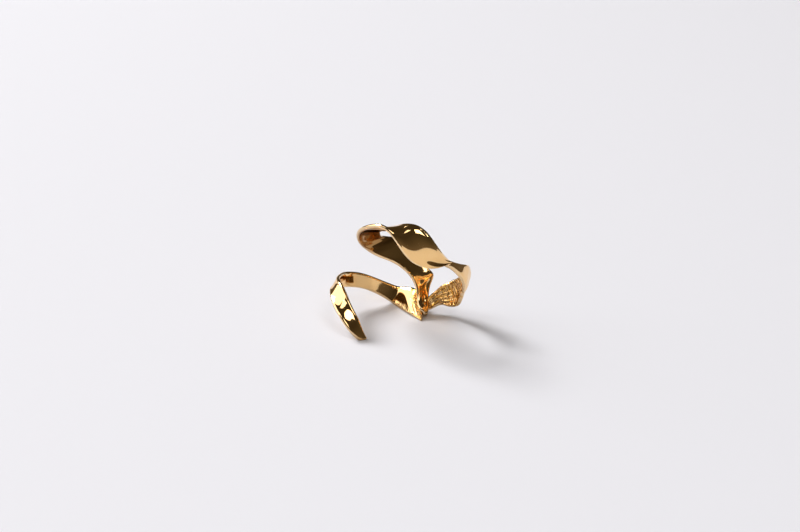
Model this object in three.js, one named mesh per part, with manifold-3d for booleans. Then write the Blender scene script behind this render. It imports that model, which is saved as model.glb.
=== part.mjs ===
// Ribbon finger ring: one piece of polished gold sheet, bent as two bands that
// are fused where they meet. Millimetres, +Z up, the floor is Z = 0 and the
// origin is the middle of the footprint. The ring lies on its tail.
import * as THREE from "three";
import { mergeVertices } from "three/addons/utils/BufferGeometryUtils.js";
import Module from "manifold-3d";

const wasm = await Module();
wasm.setup();

// ---------------------------------------------------------------- sizes, mm
const BAND_THICK = 0.8; // sheet thickness
const TAIL_PITCH = 0.55; // length between sections along the tail
const LOOP_PITCH = 0.42; // and along the loop
const FLAT_POINTS = 6; // section points on each broad face
const EDGE_POINTS = 2; // extra points round each edge
const SMOOTHING = 3; // passes that soften the joins between rows
const NEIGHBOUR_SHARE = 0.25; // how much of each neighbour a pass mixes in
const FLOOR_CUT = 60; // side of the block that trims the resting flats
const LEAST_FLAT = 0.02; // the broad faces' least half width
const CURVE_STEPS = 24; // curve points read between two rows
const END_RINGS = 3; // rings that round off each end
const END_FULLNESS = 0.3; // how blunt the last end ring stays
const BOW_POWER = 4; // how flat the bowed face is before it turns down
const EDGE_FROM = -0.17; // where across the band a one-sided fold starts
const EDGE_FULL = 0.67; // and where it is full, in half widths towards its edge
const WELD = 1e-4; // points closer than this are one
const GOLD = { color: 0xe0b36a, metalness: 1, roughness: 0.12 }; // polished

// ------------------------------------------------------------ section tables
// One row for each section. x, y, z is the middle of the band, wide the width
// across it, turn the compass direction of the line across the band (0 along
// +X, 90 along +Y), rise how steeply that line climbs, and bow how far the
// middle of the band stands out from its two edges.
const TAIL = [
  { at: "foot tip", x: -6.0, y: -9.2, z: 0.1, wide: 1.8, turn: 26, rise: 13, bow: 0 },
  { at: "foot", x: -7.05, y: -9.2, z: 1.5, wide: 2.5, turn: 40, rise: 10, bow: 0 },
  { at: "ankle", x: -8.0, y: -8.7, z: 2.9, wide: 3.0, turn: 38, rise: 18, bow: 0.1 },
  { at: "leg low", x: -9.3, y: -7.5, z: 4.5, wide: 3.2, turn: 37, rise: 31, bow: 0.1 },
  { at: "leg middle", x: -10.4, y: -5.8, z: 5.8, wide: 3.4, turn: 26, rise: 41, bow: 0.1 },
  { at: "leg high", x: -11.3, y: -3.6, z: 6.8, wide: 3.4, turn: 20, rise: 51, bow: 0.1 },
  { at: "bend in", x: -11.9, y: -0.6, z: 7.1, wide: 3.0, turn: 22, rise: 59, bow: 0.1 },
  { at: "bend", x: -11.5, y: 2.9, z: 6.5, wide: 3.0, turn: 22, rise: 68, bow: 0.1 },
  { at: "bend out", x: -10.4, y: 5.7, z: 5.8, wide: 3.1, turn: 35, rise: 78, bow: 0.1 },
  { at: "back left", x: -8.4, y: 7.5, z: 5.2, wide: 3.1, turn: 62, rise: 83, bow: 0 },
  { at: "back middle", x: -6.1, y: 8.4, z: 4.5, wide: 3.0, turn: 85, rise: 82, bow: 0 },
  { at: "back right", x: -1.6, y: 10.0, z: 2.1, wide: 3.4, turn: 86, rise: 66, bow: 0 },
  { at: "ramp start", x: 0.4, y: 9.2, z: 1.5, wide: 4.3, turn: 86, rise: 53, bow: 0.1 },
  { at: "ramp", x: 2.2, y: 7.1, z: 1.9, wide: 5.9, turn: 90, rise: 38, bow: 0.1 },
  { at: "ramp end", x: 4.6, y: 4.8, z: 1.75, wide: 7.5, turn: 94, rise: 30, bow: 0 },
];
const LOOP = [
  { at: "front foot", x: 5.45, y: 3.7, z: 0.75, wide: 1.3, turn: 48, rise: -17, bow: 0 },
  { at: "front bottom", x: 5.3, y: 4.1, z: 1.4, wide: 2.4, turn: 50, rise: -14, bow: 0 },
  { at: "front low", x: 5.0, y: 5.2, z: 2.2, wide: 2.7, turn: 37, rise: -10, bow: 0.1 },
  { at: "front waist", x: 4.8, y: 6.4, z: 3.5, wide: 2.7, turn: 32, rise: -8, bow: 0.1 },
  { at: "front stripe", x: 4.7, y: 7.2, z: 5.2, wide: 3.3, turn: 25, rise: 1, bow: 0.1 },
  { at: "front wide", x: 4.4, y: 7.7, z: 6.9, wide: 4.8, turn: 20, rise: 1, bow: 0.1 },
  { at: "front middle", x: 2.5, y: 8.2, z: 8.4, wide: 4.7, turn: 22, rise: 0, bow: 0.1 },
  { at: "front high", x: 0.2, y: 8.5, z: 9.8, wide: 4.8, turn: 28, rise: 6, bow: 0.1 },
  { at: "loop end in", x: -2.05, y: 8.6, z: 11.4, wide: 6.0, turn: 39, rise: 17, bow: 0 },
  { at: "loop end low", x: -4.0, y: 8.2, z: 12.6, wide: 6.3, turn: 43, rise: 16, bow: 0 },
  { at: "loop end side", x: -5.7, y: 6.6, z: 13.8, wide: 6.0, turn: 47, rise: 5, bow: 0.1 },
  { at: "loop end", x: -6.3, y: 3.8, z: 15.9, wide: 5.8, turn: 42, rise: -2, bow: 0.3 },
  { at: "loop end top", x: -5.8, y: 1.0, z: 18.0, wide: 5.6, turn: 44, rise: -12, bow: 0.1 },
  { at: "top left", x: -2.8, y: -3.0, z: 20.2, wide: 5.0, turn: 50, rise: -17, bow: -0.3 },
  { at: "top crest", x: -0.8, y: -4.8, z: 20.6, wide: 4.1, turn: 42, rise: 14, bow: 0 },
  { at: "top middle", x: 0.9, y: -6.0, z: 20.0, wide: 5.1, turn: 36, rise: 42, bow: 0.3 },
  { at: "top widest", x: 2.7, y: -6.6, z: 18.6, wide: 6.0, turn: 30, rise: 50, bow: 0.4 },
  { at: "top right", x: 4.8, y: -6.7, z: 16.7, wide: 5.3, turn: 8, rise: 55, bow: 0.3 },
  { at: "neck in", x: 7.0, y: -5.9, z: 15.3, wide: 3.1, turn: 22, rise: 44, bow: 0.3 },
  { at: "neck", x: 9.25, y: -3.9, z: 14.0, wide: 3.0, turn: 66, rise: -4, bow: 0.1 },
  { at: "right bend", x: 11.0, y: -1.8, z: 12.6, wide: 4.4, turn: 73, rise: -1, bow: 0.1 },
  { at: "right side", x: 12.3, y: 0.3, z: 10.9, wide: 5.8, turn: 77, rise: 6, bow: 0.2 },
  { at: "cup right", x: 12.6, y: 1.6, z: 8.8, wide: 4.3, turn: 80, rise: 22, bow: 0.3 },
  { at: "cup", x: 11.7, y: 3.5, z: 6.7, wide: 4.5, turn: 104, rise: 31, bow: 0.4 },
  { at: "cup low", x: 10.8, y: 5.0, z: 4.8, wide: 5.3, turn: 117, rise: 38, bow: 0.4 },
  { at: "cup bottom", x: 9.4, y: 6.1, z: 3.7, wide: 4.7, turn: 126, rise: 46, bow: 0.2 },
  { at: "pinch in", x: 8.5, y: 6.7, z: 3.2, wide: 3.7, turn: 132, rise: 50, bow: 0 },
  { at: "pinch", x: 7.8, y: 6.8, z: 2.9, wide: 2.9, turn: 133, rise: 51, bow: 0 },
  { at: "fan", x: 6.4, y: 6.2, z: 2.1, wide: 2.6, turn: 120, rise: 57, bow: 0 },
  { at: "fan end", x: 5.6, y: 5.4, z: 1.7, wide: 2.3, turn: 97, rise: 43, bow: 0 },
  { at: "fan root", x: 5.0, y: 4.6, z: 1.9, wide: 2.2, turn: 95, rise: 41, bow: 0 },
];
// Pleats pressed into the sheet. first and last are the rows they lie between,
// count how many fit there, deep how far they stand up, slant how many pleats
// they lean over by from the middle to the far edge, and side the edge that
// they keep to: 0 both, -1 the near one. A count of 0 is one lip along the edge.
const TAIL_PLEATS = [
  { first: "ramp start", last: "ramp end", count: 4, deep: 0.02, slant: 0.8, side: 0 },
];
const LOOP_PLEATS = [
  { first: "front waist", last: "front middle", count: 1.5, deep: 0.055, slant: -0.45, side: 0 },
  { first: "top right", last: "neck", count: 0, deep: 0.65, slant: -0.25, side: -1 },
  { first: "right bend", last: "pinch in", count: 7, deep: 0.035, slant: 0.5, side: 0 },
  { first: "cup low", last: "fan end", count: 0.4, deep: 0.05, slant: 1.2, side: 0 },
];

// ------------------------------------------------------------------- bands
const radians = THREE.MathUtils.degToRad;

/** The two edge points of a section row, with its bow. */
function edgesOf(row) {
  const turn = radians(row.turn);
  const rise = radians(row.rise);
  const across = new THREE.Vector3(
    Math.cos(rise) * Math.cos(turn),
    Math.cos(rise) * Math.sin(turn),
    Math.sin(rise),
  ).multiplyScalar(row.wide / 2);
  const middle = new THREE.Vector3(row.x, row.y, row.z);
  return {
    near: middle.clone().sub(across),
    far: middle.clone().add(across),
    bow: row.bow,
  };
}

/** Sections at an even pitch along a band, softened where rows meet. */
function sectionsOf(table, pleats, pitch) {
  const rows = table.map(edgesOf);
  const near = new THREE.CatmullRomCurve3(rows.map((r) => r.near), false, "centripetal");
  const far = new THREE.CatmullRomCurve3(rows.map((r) => r.far), false, "centripetal");
  const last = rows.length - 1;
  const fine = [];
  for (let i = 0; i <= last * CURVE_STEPS; i++) {
    const t = i / (last * CURVE_STEPS);
    const k = Math.min(Math.floor(t * last), last - 1);
    const mix = THREE.MathUtils.smoothstep(t * last - k, 0, 1);
    fine.push({
      near: near.getPoint(t),
      far: far.getPoint(t),
      bow: THREE.MathUtils.lerp(rows[k].bow, rows[k + 1].bow, mix),
      row: t * last,
    });
  }
  const travelled = [0];
  for (let i = 1; i < fine.length; i++) {
    const step =
      (fine[i].near.distanceTo(fine[i - 1].near) + fine[i].far.distanceTo(fine[i - 1].far)) / 2;
    travelled.push(travelled[i - 1] + step);
  }
  const length = travelled[travelled.length - 1];
  const count = Math.round(length / pitch);
  let sections = [];
  for (let s = 0, i = 0; s <= count; s++) {
    const want = (length * s) / count;
    while (i < fine.length - 2 && travelled[i + 1] < want) i++;
    const f = (want - travelled[i]) / (travelled[i + 1] - travelled[i]);
    const [a, b] = [fine[i], fine[i + 1]];
    sections.push({
      near: a.near.clone().lerp(b.near, f),
      far: a.far.clone().lerp(b.far, f),
      bow: THREE.MathUtils.lerp(a.bow, b.bow, f),
      row: THREE.MathUtils.lerp(a.row, b.row, f),
    });
  }
  for (let pass = 0; pass < SMOOTHING; pass++) {
    sections = sections.map((s, i) => {
      if (i === 0 || i === sections.length - 1) return s;
      const [p, n] = [sections[i - 1], sections[i + 1]];
      const soften = (key) =>
        p[key]
          .clone()
          .add(n[key])
          .multiplyScalar(NEIGHBOUR_SHARE)
          .add(s[key].clone().multiplyScalar(1 - 2 * NEIGHBOUR_SHARE));
      return { ...s, near: soften("near"), far: soften("far") };
    });
  }
  const rowOf = (name) => table.findIndex((r) => r.at === name);
  return sections.map((s, i) => {
    const before = sections[Math.max(i - 1, 0)];
    const after = sections[Math.min(i + 1, count)];
    const middle = s.near.clone().add(s.far).multiplyScalar(0.5);
    const along = after.near.clone().add(after.far).sub(before.near).sub(before.far).normalize();
    const across = s.far.clone().sub(s.near);
    const half = across.length() / 2;
    across.normalize();
    const out = along.clone().cross(across).normalize();
    const lift = (v) =>
      s.bow * (1 - v ** BOW_POWER) +
      pleats.reduce((sum, p) => {
        const [a, b] = [rowOf(p.first), rowOf(p.last)];
        const t = (s.row - a) / (b - a);
        if (t <= 0 || t >= 1) return sum;
        const wave = Math.sin(2 * Math.PI * (p.count * t + p.slant * v));
        const share = p.side === 0 ? 1 : THREE.MathUtils.smoothstep(p.side * v, EDGE_FROM, EDGE_FULL);
        return sum + p.deep * Math.sin(Math.PI * t) * wave * share;
      }, 0);
    return { middle, along, across, out, half, lift };
  });
}

/** Places across (v, -1 to 1 of the half width) and through the sheet. */
function outlineOf(half, thick) {
  const r = thick / 2;
  const flat = Math.max(half - r, LEAST_FLAT);
  const places = [];
  for (const side of [1, -1]) {
    for (let i = 0; i < FLAT_POINTS; i++)
      places.push([side * flat * (1 - (2 * i) / (FLAT_POINTS - 1)), side * r]);
    for (let i = 1; i <= EDGE_POINTS; i++) {
      const angle = (Math.PI * i) / (EDGE_POINTS + 1);
      places.push([-side * (flat + r * Math.sin(angle)), side * r * Math.cos(angle)]);
    }
  }
  return places;
}

/** A closed solid swept through a band's sections, with rounded ends. */
function sweep(sections, thick) {
  const rings = [];
  const ring = (s, squeeze, shift) =>
    outlineOf(s.half, thick).map(([across, through]) =>
      s.middle
        .clone()
        .addScaledVector(s.along, shift)
        .addScaledVector(s.across, across)
        .addScaledVector(s.out, through * squeeze + s.lift(across / s.half)),
    );
  const reach = thick / 2;
  const first = sections[0];
  const final = sections[sections.length - 1];
  const endAngle = (e) => (Math.PI / 2) * (e / (END_RINGS + END_FULLNESS));
  for (let e = END_RINGS; e > 0; e--) {
    const a = endAngle(e);
    rings.push(ring(first, Math.cos(a), -reach * Math.sin(a)));
  }
  for (const s of sections) rings.push(ring(s, 1, 0));
  for (let e = 1; e <= END_RINGS; e++) {
    const a = endAngle(e);
    rings.push(ring(final, Math.cos(a), reach * Math.sin(a)));
  }
  const n = rings[0].length;
  const positions = rings.flat().flatMap((p) => [p.x, p.y, p.z]);
  const faces = [];
  for (let k = 0; k + 1 < rings.length; k++)
    for (let i = 0; i < n; i++) {
      const j = (i + 1) % n;
      const [a, b, c, d] = [k * n + i, k * n + j, (k + 1) * n + j, (k + 1) * n + i];
      faces.push(a, b, c, a, c, d);
    }
  for (const [base, flip] of [[0, false], [(rings.length - 1) * n, true]]) {
    const hub = positions.length / 3;
    const centre = rings[base / n].reduce((sum, p) => sum.add(p), new THREE.Vector3());
    centre.divideScalar(n);
    positions.push(centre.x, centre.y, centre.z);
    for (let i = 0; i < n; i++) {
      const j = (i + 1) % n;
      if (flip) faces.push(hub, base + i, base + j);
      else faces.push(hub, base + j, base + i);
    }
  }
  const geometry = new THREE.BufferGeometry();
  geometry.setAttribute("position", new THREE.Float32BufferAttribute(positions, 3));
  geometry.setIndex(faces);
  return geometry;
}

// -------------------------------------------------------------------- solids
/** The closed solid that a surface of triangles bounds. */
function solidOf(geometry) {
  const bare = geometry.clone();
  bare.deleteAttribute("normal");
  bare.deleteAttribute("uv");
  const merged = mergeVertices(bare, WELD);
  return new wasm.Manifold(
    new wasm.Mesh({
      numProp: 3,
      vertProperties: merged.attributes.position.array,
      triVerts: new Uint32Array(merged.index.array),
    }),
  );
}

/** A solid's surface as triangles, smoothly shaded. */
function geometryOf(solid) {
  const mesh = solid.getMesh();
  const places = new Float32Array(mesh.numVert * 3);
  for (let i = 0; i < mesh.numVert; i++)
    places.set(mesh.vertProperties.subarray(i * mesh.numProp, i * mesh.numProp + 3), i * 3);
  const geometry = new THREE.BufferGeometry();
  geometry.setAttribute("position", new THREE.BufferAttribute(places, 3));
  geometry.setIndex(new THREE.BufferAttribute(mesh.triVerts, 1));
  geometry.computeVertexNormals();
  return geometry;
}

const tail = solidOf(sweep(sectionsOf(TAIL, TAIL_PLEATS, TAIL_PITCH), BAND_THICK));
const loop = solidOf(sweep(sectionsOf(LOOP, LOOP_PLEATS, LOOP_PITCH), BAND_THICK));
const floor = solidOf(
  new THREE.BoxGeometry(FLOOR_CUT, FLOOR_CUT, FLOOR_CUT).translate(0, 0, -FLOOR_CUT / 2),
);
const joined = tail.add(loop).subtract(floor);
const box = joined.boundingBox();
const ribbon = joined.translate([-(box.min[0] + box.max[0]) / 2, -(box.min[1] + box.max[1]) / 2, 0]);

const group = new THREE.Group();
group.name = "ribbon_ring";
const ring = new THREE.Mesh(
  geometryOf(ribbon),
  new THREE.MeshStandardMaterial(GOLD),
);
ring.name = "ribbon";
group.add(ring);

export default group;
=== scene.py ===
"""Dresses the ribbon finger ring: a polished gold band, its studio and its camera.

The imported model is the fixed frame. The ring's one solid is replaced by a finer
mesh of the same two bands, swept through the same sections and fused where they
meet. Lengths in the section tables are millimetres, as a jeweller measures, and
everything that reaches Blender is metres.
"""

import logging
import math
from dataclasses import dataclass, field
from enum import Enum
from typing import Union

import bpy
import numpy as np
from mathutils import Matrix, Vector


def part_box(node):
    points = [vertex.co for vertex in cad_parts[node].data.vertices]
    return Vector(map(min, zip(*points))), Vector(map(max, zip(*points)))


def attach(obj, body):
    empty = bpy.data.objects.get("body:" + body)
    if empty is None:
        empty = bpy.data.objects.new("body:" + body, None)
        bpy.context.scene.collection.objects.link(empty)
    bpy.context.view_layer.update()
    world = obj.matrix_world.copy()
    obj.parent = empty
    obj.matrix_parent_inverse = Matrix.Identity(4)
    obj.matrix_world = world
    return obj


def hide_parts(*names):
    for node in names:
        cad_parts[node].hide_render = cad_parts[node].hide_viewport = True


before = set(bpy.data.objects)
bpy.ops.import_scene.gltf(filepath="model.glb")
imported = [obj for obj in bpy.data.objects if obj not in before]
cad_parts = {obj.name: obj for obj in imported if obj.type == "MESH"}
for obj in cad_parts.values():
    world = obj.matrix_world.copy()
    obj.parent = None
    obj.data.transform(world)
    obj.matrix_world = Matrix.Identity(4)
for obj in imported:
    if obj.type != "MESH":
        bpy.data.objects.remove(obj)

MM = 0.001
RIM = "rim"
SHEET = "sheet"
# This attribute carries how crinkled each point is, the crinkles' turn, and the share of painted shade.
CRINKLE_AND_SHADE = "crinkle_and_shade"
# A colour Mix node's sockets go by number, since several share one name.
MIX_SHARE, MIX_NONE, MIX_FULL = 0, 6, 7
MIX_COLOUR = 2
# How a one-sided pleat grows towards its edge: the slope, and its value mid-band.
EDGE_SLOPE, EDGE_MIDDLE = 1.2, 0.2
LOG = logging.getLogger("ribbon_ring")


# --------------------------------------------------------------------------- shader maths
class Socket:
    """A shader output that takes part in Python expressions."""

    def __init__(self, maker: "Nodes", socket: bpy.types.NodeSocket) -> None:
        """Keeps the tree's maker and the socket.

        Args:
            maker: what adds nodes to the tree.
            socket: the output that this object stands for.
        """
        self.maker = maker
        self.socket = socket

    def _math(self, operation: str, first: object, second: object) -> "Socket":
        """Adds one Math node.

        Args:
            operation: the Math node's operation.
            first: its first value, a number or a Socket.
            second: its second value, a number or a Socket.

        Returns:
            The node's result.
        """
        return self.maker.add("ShaderNodeMath", {"operation": operation}, {0: first, 1: second})

    def __add__(self, other: object) -> "Socket":
        """self + other."""
        return self._math("ADD", self, other)

    __radd__ = __add__

    def __sub__(self, other: object) -> "Socket":
        """self - other."""
        return self._math("SUBTRACT", self, other)

    def __rsub__(self, other: object) -> "Socket":
        """other - self."""
        return self._math("SUBTRACT", other, self)

    def __mul__(self, other: object) -> "Socket":
        """self * other."""
        return self._math("MULTIPLY", self, other)

    __rmul__ = __mul__


class Nodes:
    """Adds nodes to one material's tree."""

    def __init__(self, tree: bpy.types.NodeTree) -> None:
        """Keeps the tree and empties it.

        Args:
            tree: the node tree to fill.
        """
        self.tree = tree
        tree.nodes.clear()

    def add(self, kind: str, settings: dict, inputs: dict, output: Union[int, str] = 0) -> Socket:
        """Adds a node.

        Args:
            kind: the node's type name.
            settings: its properties, set before its inputs; a ramp's stops go by "stops".
            inputs: values or Sockets by the input's name or number.
            output: which output to return.

        Returns:
            The chosen output as a Socket.
        """
        node = self.tree.nodes.new(kind)
        for name, value in settings.items():
            if name == "stops":
                self._set_stops(node.color_ramp, value)
            else:
                setattr(node, name, value)
        for name, value in inputs.items():
            if isinstance(value, Socket):
                self.tree.links.new(value.socket, node.inputs[name])
            else:
                node.inputs[name].default_value = value
        return Socket(self, node.outputs[output]) if len(node.outputs) else Socket(self, None)

    @staticmethod
    def _set_stops(ramp: bpy.types.ColorRamp, stops: list) -> None:
        """Sets a ramp's stops.

        Args:
            ramp: the colour ramp.
            stops: (place, colour) pairs in order.
        """
        while len(ramp.elements) < len(stops):
            ramp.elements.new(1.0)
        for element, (place, colour) in zip(ramp.elements, stops):
            element.position = place
            element.color = (*colour, 1.0)


# --------------------------------------------------------------------------- finishes
@dataclass(frozen=True)
class PolishedGold:
    """Mirror-polished yellow gold, satin and streaked where the sheet is crinkled.

    bright and deep are its two shades. The colour for recesses is painted shade:
    it is full where the surroundings are open by deep_open or less, gone from
    full_open on, and added by its share in the faces marked as shaded hollows. The
    pale colour for the rims is a painted highlight on the rounded edges, and crinkled
    is the colour of the streaks, a deeper orange painted as the gold's reflection of
    itself in the crinkles. fine is how many streaks lie in a millimetre, and long how
    many follow each other in one. Names that end in mm are millimetres.
    """

    name: str = "polished_gold"
    bright: tuple = (0.97, 0.66, 0.31, 1.0)
    deep: tuple = (0.93, 0.57, 0.23, 1.0)
    roughness: float = 0.07
    recess_shade: tuple = (0.30, 0.155, 0.05, 1.0)
    rim_highlight: tuple = (0.99, 0.84, 0.60, 1.0)
    recess_mm: float = 6.0
    recess_samples: int = 12
    deep_open: float = 0.4
    full_open: float = 0.9
    painted_shade_share: float = 0.85
    rim_highlight_share: float = 0.35
    shade_mm: float = 4.0
    smear: float = 0.05
    smear_mm: float = 0.625
    ripple_mm: float = 0.9
    ripple_high_mm: float = 0.02
    ripple_strength: float = 0.05
    satin_roughness: float = 0.11
    crinkled: tuple = (0.80, 0.42, 0.08, 1.0)
    fine: float = 2.4
    long: float = 0.28
    streak_none: float = 0.46
    streak_full: float = 0.62
    crinkle_high_mm: float = 0.05
    crinkle_strength: float = 0.7

    def build(self) -> bpy.types.Material:
        """Makes the material.

        Returns:
            The finished material.
        """
        material = bpy.data.materials.new(self.name)
        material.use_nodes = True
        nodes = Nodes(material.node_tree)
        place = nodes.add("ShaderNodeTexCoord", {}, {}, "Object")
        cloud = self._noise(nodes, place, 1 / (self.shade_mm * MM), 2.0)
        polish = self._noise(nodes, place, 1 / (self.smear_mm * MM), 3.0)
        ripple = self._noise(nodes, place, 1 / (self.ripple_mm * MM), 1.0)
        # Painted shade: where an ambient occlusion reading finds little open round a point, the base
        # colour goes over to a dark brown.
        reach = {"Distance": self.recess_mm * MM}
        hidden = nodes.add("ShaderNodeAmbientOcclusion", {"samples": self.recess_samples}, reach, "AO")
        rim = nodes.add("ShaderNodeAttribute", {"attribute_name": RIM}, {}, "Fac")
        crinkle_and_shade = nodes.add("ShaderNodeAttribute", {"attribute_name": CRINKLE_AND_SHADE}, {}, "Vector")
        # The third value is the share of painted shade on faces deep in the band's curls.
        amount, turned, painted_shade = (
            nodes.add("ShaderNodeSeparateXYZ", {}, {"Vector": crinkle_and_shade}, axis) for axis in "XYZ"
        )
        open_gold = self._mix(nodes, cloud, self.deep, self.bright)
        limits = {"Value": hidden, "From Min": self.deep_open, "From Max": self.full_open}
        opened = nodes.add("ShaderNodeMapRange", {}, limits, "Result")
        # Painted shade: the marked faces deepen the dark brown further.
        recess_shaded = self._mix(nodes, opened * (1 - painted_shade * self.painted_shade_share), self.recess_shade, open_gold)
        crossing = self._streaks(nodes, (self.fine, self.long, 1.0))
        following = self._streaks(nodes, (self.long, self.fine, 1.0))
        streaks = crossing + (following - crossing) * turned
        # Painted highlight: the rounded rims are mixed towards a pale cream.
        polished = self._mix(nodes, rim * self.rim_highlight_share, recess_shaded, self.rim_highlight)
        # Painted reflection: the streaks, which follow the crinkled sheet, are tinted a deeper orange
        # like gold reflected in gold.
        tint = self._mix(nodes, streaks * amount, polished, self.crinkled)
        rough = polish * self.smear + amount * self.satin_roughness + (self.roughness - self.smear / 2)
        ripples = {
            "Strength": self.ripple_strength,
            "Distance": self.ripple_high_mm * MM,
            "Height": ripple,
        }
        waved = nodes.add("ShaderNodeBump", {}, ripples, "Normal")
        crinkles = {
            "Strength": self.crinkle_strength,
            "Distance": self.crinkle_high_mm * MM,
            "Height": (1 - streaks) * amount,
            "Normal": waved,
        }
        bump = nodes.add("ShaderNodeBump", {}, crinkles, "Normal")
        shader = nodes.add(
            "ShaderNodeBsdfPrincipled",
            {},
            {"Base Color": tint, "Metallic": 1.0, "Roughness": rough, "Normal": bump},
            "BSDF",
        )
        nodes.add("ShaderNodeOutputMaterial", {}, {"Surface": shader})
        return material

    @staticmethod
    def _noise(nodes: Nodes, place: Socket, scale: float, detail: float) -> Socket:
        """Soft noise.

        Args:
            nodes: the material's nodes.
            place: where it is read.
            scale: its lumps in one unit of place.
            detail: how many finer layers it has.

        Returns:
            0 to 1, about one half on average.
        """
        inputs = {"Vector": place, "Scale": scale, "Detail": detail}
        return nodes.add("ShaderNodeTexNoise", {}, inputs, "Fac")

    def _streaks(self, nodes: Nodes, scale: tuple) -> Socket:
        """Streaks in the sheet's own directions.

        Args:
            nodes: the material's nodes.
            scale: streaks in a millimetre along the band, across it and through it.

        Returns:
            0 between streaks to 1 on them.
        """
        sheet = nodes.add("ShaderNodeAttribute", {"attribute_name": SHEET}, {}, "Vector")
        scaled = nodes.add(
            "ShaderNodeVectorMath", {"operation": "MULTIPLY"}, {0: sheet, 1: scale}, "Vector"
        )
        noise = self._noise(nodes, scaled, 1.0, 2.0)
        limits = {"Value": noise, "From Min": self.streak_none, "From Max": self.streak_full}
        return nodes.add("ShaderNodeMapRange", {}, limits, "Result")

    @staticmethod
    def _mix(nodes: Nodes, share: Socket, none: object, full: object) -> Socket:
        """Mixes two colours.

        Args:
            nodes: the material's nodes.
            share: how much of the second colour.
            none: the first colour or its Socket.
            full: the second colour or its Socket.

        Returns:
            The mixed colour.
        """
        inputs = {MIX_SHARE: share, MIX_NONE: none, MIX_FULL: full}
        return nodes.add("ShaderNodeMix", {"data_type": "RGBA"}, inputs, MIX_COLOUR)


@dataclass(frozen=True)
class MattPaper:
    """The plain pale sheet that the ring lies on."""

    name: str = "pale_paper"
    colour: tuple = (0.80, 0.795, 0.84, 1.0)
    roughness: float = 0.9

    def build(self) -> bpy.types.Material:
        """Makes the material.

        Returns:
            The finished material.
        """
        material = bpy.data.materials.new(self.name)
        material.use_nodes = True
        nodes = Nodes(material.node_tree)
        look = {"Base Color": self.colour, "Roughness": self.roughness}
        shader = nodes.add("ShaderNodeBsdfPrincipled", {}, look, "BSDF")
        nodes.add("ShaderNodeOutputMaterial", {}, {"Surface": shader})
        return material


# --------------------------------------------------------------------------- the ring
class BandEnd(Enum):
    """How a band ends."""

    ROUND = "round"
    FUSED = "fused"


@dataclass(frozen=True)
class Section:
    """One row of a band's table, in millimetres and degrees.

    x, y, z is the middle of the band, wide the width across it, turn the compass
    direction of the line across it, rise how steeply that line climbs, and bow
    how far the middle of the band stands out from its two edges.
    """

    at: str
    x: float
    y: float
    z: float
    wide: float
    turn: float
    rise: float
    bow: float = 0.0

    def edges(self) -> np.ndarray:
        """The two edge points and the bow.

        Returns:
            Seven numbers: the near edge, the far edge and the bow.
        """
        turn, rise = math.radians(self.turn), math.radians(self.rise)
        across = np.array(
            [math.cos(rise) * math.cos(turn), math.cos(rise) * math.sin(turn), math.sin(rise)]
        )
        middle = np.array([self.x, self.y, self.z])
        half = across * self.wide / 2
        return np.concatenate([middle - half, middle + half, [self.bow]])


class Side(Enum):
    """Which part of the band's width is pleated."""

    BOTH = 0
    NEAR = -1

    def share(self, v: np.ndarray) -> np.ndarray:
        """How much of a pleat's depth shows at each place across.

        Args:
            v: places across the band, -1 to 1.

        Returns:
            0 to 1 for each place.
        """
        if self is Side.BOTH:
            return np.ones_like(v)
        t = np.clip(EDGE_SLOPE * self.value * v + EDGE_MIDDLE, 0, 1)
        return t * t * (3 - 2 * t)


@dataclass(frozen=True)
class Pleats:
    """Folds pressed into the sheet between two rows.

    count is how many fit there, deep how far they stand up in millimetres, and
    slant how many pleats they lean over by from the middle to the far edge. With
    a count of 0 they are one lip along the edge.
    """

    first: str
    last: str
    count: float
    deep: float
    slant: float
    side: Side = Side.BOTH

    def lift(self, t: np.ndarray, v: np.ndarray) -> np.ndarray:
        """How far the pleats stand up.

        Args:
            t: share of the way from the first row to the last, one row each.
            v: places across the band, -1 to 1.

        Returns:
            Millimetres for each t and v.
        """
        wave = np.sin(2 * np.pi * (self.count * t + self.slant * v))
        return self.deep * np.sin(np.pi * t) * wave * self.side.share(v)


@dataclass(frozen=True)
class Crinkles:
    """Where a band's sheet is crinkled too finely to fold.

    The crinkles begin at the row start and are full at the row full. They cross
    the band up to the row before turned, and run along it from turned on. face is
    the broad face they are pressed into, 1 or -1, and faint what the other shows.
    """

    start: str
    full: str
    turned: str
    face: int
    faint: float = 0.25

    def shares(self, names: list, row: np.ndarray) -> tuple:
        """How crinkled the band is, and how far the crinkles have turned.

        Args:
            names: the band's row names in order.
            row: the row that each section lies at, as a number.

        Returns:
            The two shares, 0 to 1, for each section.
        """
        start, full, turned = (names.index(name) for name in (self.start, self.full, self.turned))
        amount = np.clip((row - start) / (full - start), 0, 1)
        turn = np.clip(row - turned + 1, 0, 1)
        return amount * amount * (3 - 2 * amount), turn * turn * (3 - 2 * turn)

    def on_face(self, through: np.ndarray) -> np.ndarray:
        """How much of the crinkles shows at each place through the sheet, -1 to 1."""
        return self.faint + (1 - self.faint) * (1 + self.face * through) / 2


@dataclass(frozen=True)
class HollowShade:
    """Painted shade on one broad face, 1 or -1, between two rows, where the face lies deep in the
    band's curve.

    The higher steep is, the sooner the face is fully shaded from either row on.
    """

    first: str
    last: str
    face: int
    steep: float = 2.0

    def share(self, names: list, row: np.ndarray, through: np.ndarray) -> np.ndarray:
        """How much painted shade the face gets.

        Args:
            names: the band's row names in order.
            row: the row that each section lies at, as a number.
            through: places through the sheet, -1 to 1.

        Returns:
            0 to 1, one row for each section and one column for each place.
        """
        first, last = names.index(self.first), names.index(self.last)
        t = np.clip((row - first) / (last - first), 0, 1)
        painted_shade = np.clip(self.steep * np.sin(np.pi * t), 0, 1)
        return painted_shade[:, None] * (1 + self.face * through[None, :]) / 2


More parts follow.
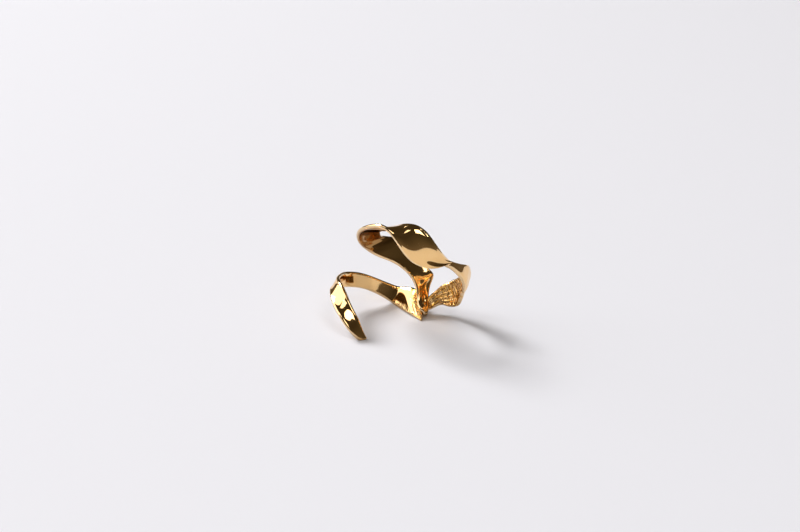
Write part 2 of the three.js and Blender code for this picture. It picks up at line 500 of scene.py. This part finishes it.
@dataclass
class Band:
    """A strip of gold sheet swept through its sections.

    thick, pitch (the step from one section to the next), soften (the width of the
    smoothing along the band) and least_flat are millimetres. The broad faces have
    flat_points points across, each rounded edge edge_points and each end cap_rings
    rings, the last of them cap_short of a step before the cap closes. The rows are
    joined by a curve of spline_points places, and the smoothing reaches
    soften_reach times its width each way. The higher bow_power is, the flatter the
    middle of a bowed section.
    """

    name: str
    rows: list
    pleats: list
    crinkles: Crinkles
    hollow_shade: HollowShade
    first_end: BandEnd
    last_end: BandEnd
    thick: float = 0.8
    pitch: float = 0.1
    flat_points: int = 25
    edge_points: int = 5
    cap_rings: int = 6
    cap_short: float = 0.2
    spline_points: int = 4000
    soften: float = 0.35
    soften_reach: float = 3.0
    least_flat: float = 0.02
    bow_power: int = 4

    def names(self) -> list:
        """The rows' names in order."""
        return [row.at for row in self.rows]

    def outline(self) -> np.ndarray:
        """Places round the section: share across, rounding across and through.

        Returns:
            One row for each point: v on the flat, then how far round the edge.
        """
        places = []
        for side in (1, -1):
            for v in np.linspace(side, -side, self.flat_points):
                places.append((v, 0.0, side))
            for i in range(1, self.edge_points + 1):
                angle = math.pi * i / (self.edge_points + 1)
                places.append((-side, -side * math.sin(angle), side * math.cos(angle)))
        return np.array(places)

    def sections(self) -> dict:
        """Evenly spaced sections along the band.

        Returns:
            Arrays by name: middle, along, across, out, half, bow and row.
        """
        table = np.array([row.edges() for row in self.rows])
        steps = np.linalg.norm(np.diff(table[:, :3], axis=0), axis=1)
        steps += np.linalg.norm(np.diff(table[:, 3:6], axis=0), axis=1)
        knots = np.concatenate([[0.0], np.cumsum(np.sqrt(steps))])
        fine = np.linspace(0, knots[-1], self.spline_points)
        curve = np.column_stack([self._spline(knots, column, fine) for column in table.T])
        row = np.interp(fine, knots, np.arange(len(knots)))
        step = np.linalg.norm(np.diff(curve[:, :3] + curve[:, 3:6], axis=0), axis=1) / 2
        travelled = np.concatenate([[0.0], np.cumsum(step)])
        count = int(travelled[-1] / self.pitch)
        want = np.linspace(0, travelled[-1], count)
        curve = np.column_stack([np.interp(want, travelled, column) for column in curve.T])
        row = np.interp(want, travelled, row)
        curve = self._softened(curve)
        near, far = curve[:, :3], curve[:, 3:6]
        middle = (near + far) / 2
        along = self._unit(np.gradient(middle, axis=0))
        across = far - near
        half = np.linalg.norm(across, axis=1) / 2
        across = self._unit(across)
        out = self._unit(np.cross(along, across))
        return {
            "middle": middle, "along": along, "across": across, "out": out,
            "half": half, "bow": curve[:, 6], "row": row,
        }

    @staticmethod
    def _spline(knots: np.ndarray, values: np.ndarray, fine: np.ndarray) -> np.ndarray:
        """A natural cubic spline.

        Args:
            knots: where the values lie.
            values: the values to pass through.
            fine: where to read the spline.

        Returns:
            The spline's values.
        """
        n = len(knots)
        h = np.diff(knots)
        system = np.eye(n)
        right = np.zeros(n)
        for i in range(1, n - 1):
            system[i, i - 1: i + 2] = h[i - 1], 2 * (h[i - 1] + h[i]), h[i]
            right[i] = 6 * ((values[i + 1] - values[i]) / h[i] - (values[i] - values[i - 1]) / h[i - 1])
        second = np.linalg.solve(system, right)
        k = np.clip(np.searchsorted(knots, fine) - 1, 0, n - 2)
        a, b = (knots[k + 1] - fine) / h[k], (fine - knots[k]) / h[k]
        bend = ((a**3 - a) * second[k] + (b**3 - b) * second[k + 1]) * h[k] ** 2 / 6
        return a * values[k] + b * values[k + 1] + bend

    def _softened(self, curve: np.ndarray) -> np.ndarray:
        """Smooths along the band by a Gaussian, keeping the ends.

        Args:
            curve: one row for each section.

        Returns:
            The smoothed rows.
        """
        reach = int(self.soften_reach * self.soften / self.pitch)
        weights = np.exp(-0.5 * (np.arange(-reach, reach + 1) * self.pitch / self.soften) ** 2)
        weights /= weights.sum()
        before = 2 * curve[0] - curve[reach:0:-1]
        after = 2 * curve[-1] - curve[-2:-reach - 2:-1]
        padded = np.vstack([before, curve, after])
        return np.column_stack([np.convolve(column, weights, "valid") for column in padded.T])

    @staticmethod
    def _unit(vectors: np.ndarray) -> np.ndarray:
        """Vectors scaled to length 1."""
        return vectors / np.linalg.norm(vectors, axis=1)[:, None]

    def lift(self, sections: dict, v: np.ndarray) -> np.ndarray:
        """How far the sheet stands out of its section plane.

        Args:
            sections: the band's sections.
            v: places across the band, -1 to 1.

        Returns:
            Millimetres, one row for each section and one column for each place.
        """
        row = sections["row"][:, None]
        lift = sections["bow"][:, None] * (1 - v[None, :] ** self.bow_power)
        names = self.names()
        for pleats in self.pleats:
            first, last = names.index(pleats.first), names.index(pleats.last)
            t = np.clip((row - first) / (last - first), 0, 1)
            lift = lift + pleats.lift(t, v)
        return lift

    def mesh(self) -> bpy.types.Mesh:
        """Sweeps the band.

        Returns:
            A closed mesh in metres, with the shares for its finish, its painted shade and its painted
            rim highlight stored at its points.
        """
        s = self.sections()
        v, round_across, through = self.outline().T
        r = self.thick / 2
        flat = np.maximum(s["half"] - r, self.least_flat)[:, None]
        across = flat * v[None, :] + r * round_across[None, :]
        lift = self.lift(s, v)
        points = (
            s["middle"][:, None, :]
            + s["across"][:, None, :] * across[:, :, None]
            + s["out"][:, None, :] * (lift + r * through[None, :])[:, :, None]
        )
        rings = [points]
        for end, index, sign in ((self.first_end, 0, -1), (self.last_end, -1, 1)):
            extra = []
            for e in range(1, self.cap_rings + 1):
                angle = math.pi / 2 * e / (self.cap_rings + self.cap_short)
                squeeze, shift = math.cos(angle), sign * r * math.sin(angle)
                width = squeeze if end is BandEnd.FUSED else 1 - (1 - squeeze) * r / flat[index, 0]
                middle = s["middle"][index] + s["along"][index] * shift
                offset = (
                    s["across"][index][None, :] * (across[index] * width)[:, None]
                    + s["out"][index][None, :] * (lift[index] + r * through * squeeze)[:, None]
                )
                extra.append(middle[None, :] + offset)
            if sign < 0:
                rings.insert(0, np.array(extra[::-1]))
            else:
                rings.append(np.array(extra))
        grid = np.concatenate(rings)
        grid[:, :, 2] = np.maximum(grid[:, :, 2], 0.0)
        mesh = self._closed_mesh(grid * MM)
        # The rounded edges are marked for the painted rim highlight.
        on_edge = np.where(round_across != 0, 1.0, 0.0)
        rim = mesh.attributes.new(RIM, "FLOAT", "POINT")
        rim.data.foreach_set("value", np.tile(on_edge, len(grid)))
        self._store_finish(mesh, s["row"], across, through)
        return mesh

    def _store_finish(
        self, mesh: bpy.types.Mesh, row: np.ndarray, across: np.ndarray, through: np.ndarray
    ) -> None:
        """Stores each point's place on the sheet, how crinkled it is and how much painted shade it
        gets.

        Args:
            mesh: the band's mesh, caps included.
            row: the row that each section lies at, as a number.
            across: millimetres across the band, one row for each section.
            through: places through the sheet, -1 to 1.
        """
        caps = self.cap_rings
        reach = np.pad(across, ((caps, caps), (0, 0)), "edge")
        travelled = np.pad(np.arange(len(across)) * self.pitch, caps, "edge")
        row = np.pad(row, caps, "edge")
        amount, turn = self.crinkles.shares(self.names(), row)
        seen = self.crinkles.on_face(through)
        # Painted shade on the faces deep in the band's curls.
        painted_shade = self.hollow_shade.share(self.names(), row, through)
        self._paint(mesh, SHEET, travelled[:, None], reach, np.zeros_like(reach))
        self._paint(mesh, CRINKLE_AND_SHADE, amount[:, None] * seen[None, :], turn[:, None], painted_shade)

    @staticmethod
    def _paint(mesh: bpy.types.Mesh, name: str, *shares: np.ndarray) -> None:
        """Stores three values at each point, as a vector.

        Args:
            mesh: the band's mesh.
            name: the attribute's name.
            shares: the three values, one row for each ring and one column for each place.
        """
        values = np.stack(np.broadcast_arrays(*shares), axis=-1)
        mesh.attributes.new(name, "FLOAT_VECTOR", "POINT").data.foreach_set("vector", values.ravel())

    def _closed_mesh(self, grid: np.ndarray) -> bpy.types.Mesh:
        """Joins rings of points into a closed mesh.

        Args:
            grid: rings, points and coordinates, in metres.

        Returns:
            The mesh.
        """
        rings, n = grid.shape[:2]
        points = list(map(tuple, grid.reshape(-1, 3)))
        faces = []
        for k in range(rings - 1):
            for i in range(n):
                j = (i + 1) % n
                faces.append((k * n + i, k * n + j, (k + 1) * n + j, (k + 1) * n + i))
        faces.append(tuple(range(n - 1, -1, -1)))
        faces.append(tuple((rings - 1) * n + i for i in range(n)))
        mesh = bpy.data.meshes.new(self.name)
        mesh.from_pydata(points, [], faces)
        mesh.validate()
        mesh.update()
        return mesh


TAIL_ROWS = [
    Section("foot tip", -6.0, -9.2, 0.1, 1.8, 26, 13),
    Section("foot", -7.05, -9.2, 1.5, 2.5, 40, 10),
    Section("ankle", -8.0, -8.7, 2.9, 3.0, 38, 18, 0.1),
    Section("leg low", -9.3, -7.5, 4.5, 3.2, 37, 31, 0.1),
    Section("leg middle", -10.4, -5.8, 5.8, 3.4, 26, 41, 0.1),
    Section("leg high", -11.3, -3.6, 6.8, 3.4, 20, 51, 0.1),
    Section("bend in", -11.9, -0.6, 7.1, 3.0, 22, 59, 0.1),
    Section("bend", -11.5, 2.9, 6.5, 3.0, 22, 68, 0.1),
    Section("bend out", -10.4, 5.7, 5.8, 3.1, 35, 78, 0.1),
    Section("back left", -8.4, 7.5, 5.2, 3.1, 62, 83),
    Section("back middle", -6.1, 8.4, 4.5, 3.0, 85, 82),
    Section("back right", -1.6, 10.0, 2.1, 3.4, 86, 66),
    Section("ramp start", 0.4, 9.2, 1.5, 4.3, 86, 53, 0.1),
    Section("ramp", 2.2, 7.1, 1.9, 5.9, 90, 38, 0.1),
    Section("ramp end", 4.6, 4.8, 1.75, 7.5, 94, 30),
]
LOOP_ROWS = [
    Section("front foot", 5.45, 3.7, 0.75, 1.3, 48, -17),
    Section("front bottom", 5.3, 4.1, 1.4, 2.4, 50, -14),
    Section("front low", 5.0, 5.2, 2.2, 2.7, 37, -10, 0.1),
    Section("front waist", 4.8, 6.4, 3.5, 2.7, 32, -8, 0.1),
    Section("front stripe", 4.7, 7.2, 5.2, 3.3, 25, 1, 0.1),
    Section("front wide", 4.4, 7.7, 6.9, 4.8, 20, 1, 0.1),
    Section("front middle", 2.5, 8.2, 8.4, 4.7, 22, 0, 0.1),
    Section("front high", 0.2, 8.5, 9.8, 4.8, 28, 6, 0.1),
    Section("loop end in", -2.05, 8.6, 11.4, 6.0, 39, 17),
    Section("loop end low", -4.0, 8.2, 12.6, 6.3, 43, 16),
    Section("loop end side", -5.7, 6.6, 13.8, 6.0, 47, 5, 0.1),
    Section("loop end", -6.3, 3.8, 15.9, 5.8, 42, -2, 0.3),
    Section("loop end top", -5.8, 1.0, 18.0, 5.6, 44, -12, 0.1),
    Section("top left", -2.8, -3.0, 20.2, 5.0, 50, -17, -0.3),
    Section("top crest", -0.8, -4.8, 20.6, 4.1, 42, 14),
    Section("top middle", 0.9, -6.0, 20.0, 5.1, 36, 42, 0.3),
    Section("top widest", 2.7, -6.6, 18.6, 6.0, 30, 50, 0.4),
    Section("top right", 4.8, -6.7, 16.7, 5.3, 8, 55, 0.3),
    Section("neck in", 7.0, -5.9, 15.3, 3.1, 22, 44, 0.3),
    Section("neck", 9.25, -3.9, 14.0, 3.0, 66, -4, 0.1),
    Section("right bend", 11.0, -1.8, 12.6, 4.4, 73, -1, 0.1),
    Section("right side", 12.3, 0.3, 10.9, 5.8, 77, 6, 0.2),
    Section("cup right", 12.6, 1.6, 8.8, 4.3, 80, 22, 0.3),
    Section("cup", 11.7, 3.5, 6.7, 4.5, 104, 31, 0.4),
    Section("cup low", 10.8, 5.0, 4.8, 5.3, 117, 38, 0.4),
    Section("cup bottom", 9.4, 6.1, 3.7, 4.7, 126, 46, 0.2),
    Section("pinch in", 8.5, 6.7, 3.2, 3.7, 132, 50),
    Section("pinch", 7.8, 6.8, 2.9, 2.9, 133, 51),
    Section("fan", 6.4, 6.2, 2.1, 2.6, 120, 57),
    Section("fan end", 5.6, 5.4, 1.7, 2.3, 97, 43),
    Section("fan root", 5.0, 4.6, 1.9, 2.2, 95, 41),
]
TAIL_PLEATS = [
    Pleats("ramp start", "ramp end", 7, 0.02, 1.2, Side.NEAR),
]
LOOP_PLEATS = [
    Pleats("front bottom", "front waist", 0.3, 0.08, 0.9),
    Pleats("front waist", "front middle", 1.5, 0.055, -0.45),
    Pleats("loop end in", "loop end", 3, 0.02, 0.5),
    Pleats("top right", "neck", 0, 0.65, -0.25, Side.NEAR),
    Pleats("right side", "cup bottom", 17, 0.03, 0.3),
    Pleats("right bend", "pinch in", 7, 0.035, 0.5),
    Pleats("cup low", "fan end", 0.4, 0.075, 2.4),
]
TAIL_CRINKLES = Crinkles("ramp", "ramp end", "foot", 1)
LOOP_CRINKLES = Crinkles("right side", "cup", "pinch in", -1)
# Where painted shade lies: inside the tail's bend and inside the loop's end.
TAIL_HOLLOW_SHADE = HollowShade("bend", "back left", -1)
LOOP_HOLLOW_SHADE = HollowShade("loop end in", "top left", -1)


@dataclass
class RibbonRing:
    """The whole ring: the tail it rests on, and the loop round the finger.

    sharp is the angle between faces, in degrees, from which an edge looks sharp.
    """

    node: str = "ribbon"
    sharp: float = 40.0
    tail: Band = field(
        default_factory=lambda: Band(
            "tail", TAIL_ROWS, TAIL_PLEATS, TAIL_CRINKLES, TAIL_HOLLOW_SHADE, BandEnd.ROUND, BandEnd.FUSED
        )
    )
    loop: Band = field(
        default_factory=lambda: Band(
            "loop", LOOP_ROWS, LOOP_PLEATS, LOOP_CRINKLES, LOOP_HOLLOW_SHADE, BandEnd.FUSED, BandEnd.FUSED
        )
    )

    def build(self) -> bpy.types.Object:
        """Fuses the bands into one piece and dresses it.

        Returns:
            The ring.
        """
        ring = self._placed("ring_ribbon", self.tail.mesh())
        loop = self._placed("loop_band", self.loop.mesh())
        join = ring.modifiers.new("fused", "BOOLEAN")
        join.operation = "UNION"
        join.solver = "MANIFOLD"
        join.object = loop
        bpy.context.view_layer.update()
        evaluated = ring.evaluated_get(bpy.context.evaluated_depsgraph_get())
        mesh = bpy.data.meshes.new_from_object(evaluated)
        ring.modifiers.clear()
        ring.data = mesh
        bpy.data.objects.remove(loop)
        self._centre(ring)
        mesh.shade_smooth()
        mesh.set_sharp_from_angle(angle=math.radians(self.sharp))
        mesh.materials.clear()
        mesh.materials.append(PolishedGold().build())
        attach(ring, "root")
        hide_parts(self.node)
        return ring

    def _centre(self, ring: bpy.types.Object) -> None:
        """Puts the ring's footprint where the solid's is.

        Args:
            ring: the fused ring.
        """
        low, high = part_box(self.node)
        points = np.array([v.co for v in ring.data.vertices])
        off = (np.array(low) + np.array(high) - points.min(0) - points.max(0)) / 2
        ring.data.transform(Matrix.Translation((off[0], off[1], 0.0)))

    @staticmethod
    def _placed(name: str, mesh: bpy.types.Mesh) -> bpy.types.Object:
        """An object of that mesh, in the scene."""
        thing = bpy.data.objects.new(name, mesh)
        bpy.context.scene.collection.objects.link(thing)
        return thing


# --------------------------------------------------------------------------- the studio
@dataclass(frozen=True)
class SoftLight:
    """A square diffusing panel, lit evenly.

    direction is where it stands as seen from the ring, away how far off, side its
    width and radiance how bright its face is.
    """

    name: str
    direction: tuple
    away: float
    side: float
    radiance: float

    def build(self, middle: Vector) -> None:
        """Hangs the light, turned to the ring.

        Args:
            middle: the ring's middle.
        """
        direction = Vector(self.direction).normalized()
        light = bpy.data.lights.new(self.name, "AREA")
        light.shape = "SQUARE"
        light.size = self.side
        light.energy = self.radiance * math.pi * self.side**2
        lamp = bpy.data.objects.new(self.name, light)
        lamp.location = middle + direction * self.away
        lamp.rotation_euler = direction.to_track_quat("Z", "Y").to_euler()
        bpy.context.scene.collection.objects.link(lamp)


@dataclass
class Studio:
    """Floor, soft lights, dim room and camera.

    elevation and roll are degrees, lens and sensor millimetres, distance, clip and
    floor_size metres, and aim_offset millimetres from the ring's middle. room gives
    the room's colour by height, from straight down at 0 to straight up at 1.
    """

    middle: Vector
    floor_size: float = 3.0
    elevation: float = 21.0
    roll: float = 4.0
    lens: float = 85.0
    sensor: float = 36.0
    clip: float = 0.01
    distance: float = 0.354
    aim_offset: tuple = (-0.3, -0.6, 0.7)
    lights: tuple = (
        SoftLight("skylight", (-0.62, 0.46, 0.64), 3.0, 1.1, 20.8),
        SoftLight("window", (-0.84, 0.20, 0.50), 3.0, 3.0, 2.1),
        SoftLight("ceiling", (0.18, -0.46, 0.87), 1.2, 0.5, 3.6),
        SoftLight("screen", (-0.47, -0.30, 0.83), 3.0, 0.85, 2.4),
    )
    room: tuple = (
        (0.0, (0.02, 0.02, 0.02)),
        (0.5, (0.13, 0.11, 0.085)),
        (0.58, (0.11, 0.09, 0.065)),
        (0.68, (0.08, 0.066, 0.044)),
        (0.85, (0.045, 0.036, 0.022)),
    )

    def build(self) -> bpy.types.Object:
        """Makes the floor, the lights and the camera.

        Returns:
            The floor.
        """
        floor = self.floor()
        for light in self.lights:
            light.build(self.middle)
        self.world()
        self.camera()
        scene = bpy.context.scene
        scene.view_settings.view_transform = "Standard"
        scene.cycles.use_denoising = True
        return floor

    def floor(self) -> bpy.types.Object:
        """The plain floor."""
        half = self.floor_size / 2
        mesh = bpy.data.meshes.new("floor")
        corners = [(-half, -half, 0), (half, -half, 0), (half, half, 0), (-half, half, 0)]
        mesh.from_pydata(corners, [], [(0, 1, 2, 3)])
        mesh.materials.append(MattPaper().build())
        floor = bpy.data.objects.new("floor", mesh)
        bpy.context.scene.collection.objects.link(floor)
        return floor

    def world(self) -> None:
        """The dim room round the ring, palest at the height of its walls' foot."""
        world = bpy.data.worlds.new("room")
        world.use_nodes = True
        nodes = Nodes(world.node_tree)
        place = nodes.add("ShaderNodeTexCoord", {}, {}, "Generated")
        height = nodes.add("ShaderNodeSeparateXYZ", {}, {"Vector": place}, "Z")
        shade = nodes.add(
            "ShaderNodeValToRGB", {"stops": self.room}, {"Fac": height * 0.5 + 0.5}, "Color"
        )
        light = nodes.add("ShaderNodeBackground", {}, {"Color": shade}, "Background")
        nodes.add("ShaderNodeOutputWorld", {}, {"Surface": light})
        bpy.context.scene.world = world

    def camera(self) -> None:
        """The camera, looking slightly down at the ring."""
        data = bpy.data.cameras.new("camera")
        data.lens = self.lens
        data.sensor_width = self.sensor
        data.clip_start = self.clip
        camera = bpy.data.objects.new("camera", data)
        tilt = math.radians(self.elevation)
        aim = self.middle + Vector(self.aim_offset) * MM
        away = Vector((0.0, -math.cos(tilt), math.sin(tilt)))
        camera.location = aim + away * self.distance
        look = away.to_track_quat("Z", "Y").to_matrix().to_4x4()
        turn = Matrix.Rotation(math.radians(self.roll), 4, "Z")
        camera.rotation_euler = (look @ turn).to_euler()
        bpy.context.scene.collection.objects.link(camera)
        bpy.context.scene.camera = camera


def main() -> None:
    """Builds the ring and its studio."""
    logging.basicConfig(level=logging.INFO, format="%(message)s")
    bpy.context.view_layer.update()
    low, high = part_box("ribbon")
    Studio(middle=(low + high) / 2).build()
    ring = RibbonRing().build()
    LOG.info("%s: %d faces", ring.name, len(ring.data.polygons))


if __name__ == "__main__":
    main()
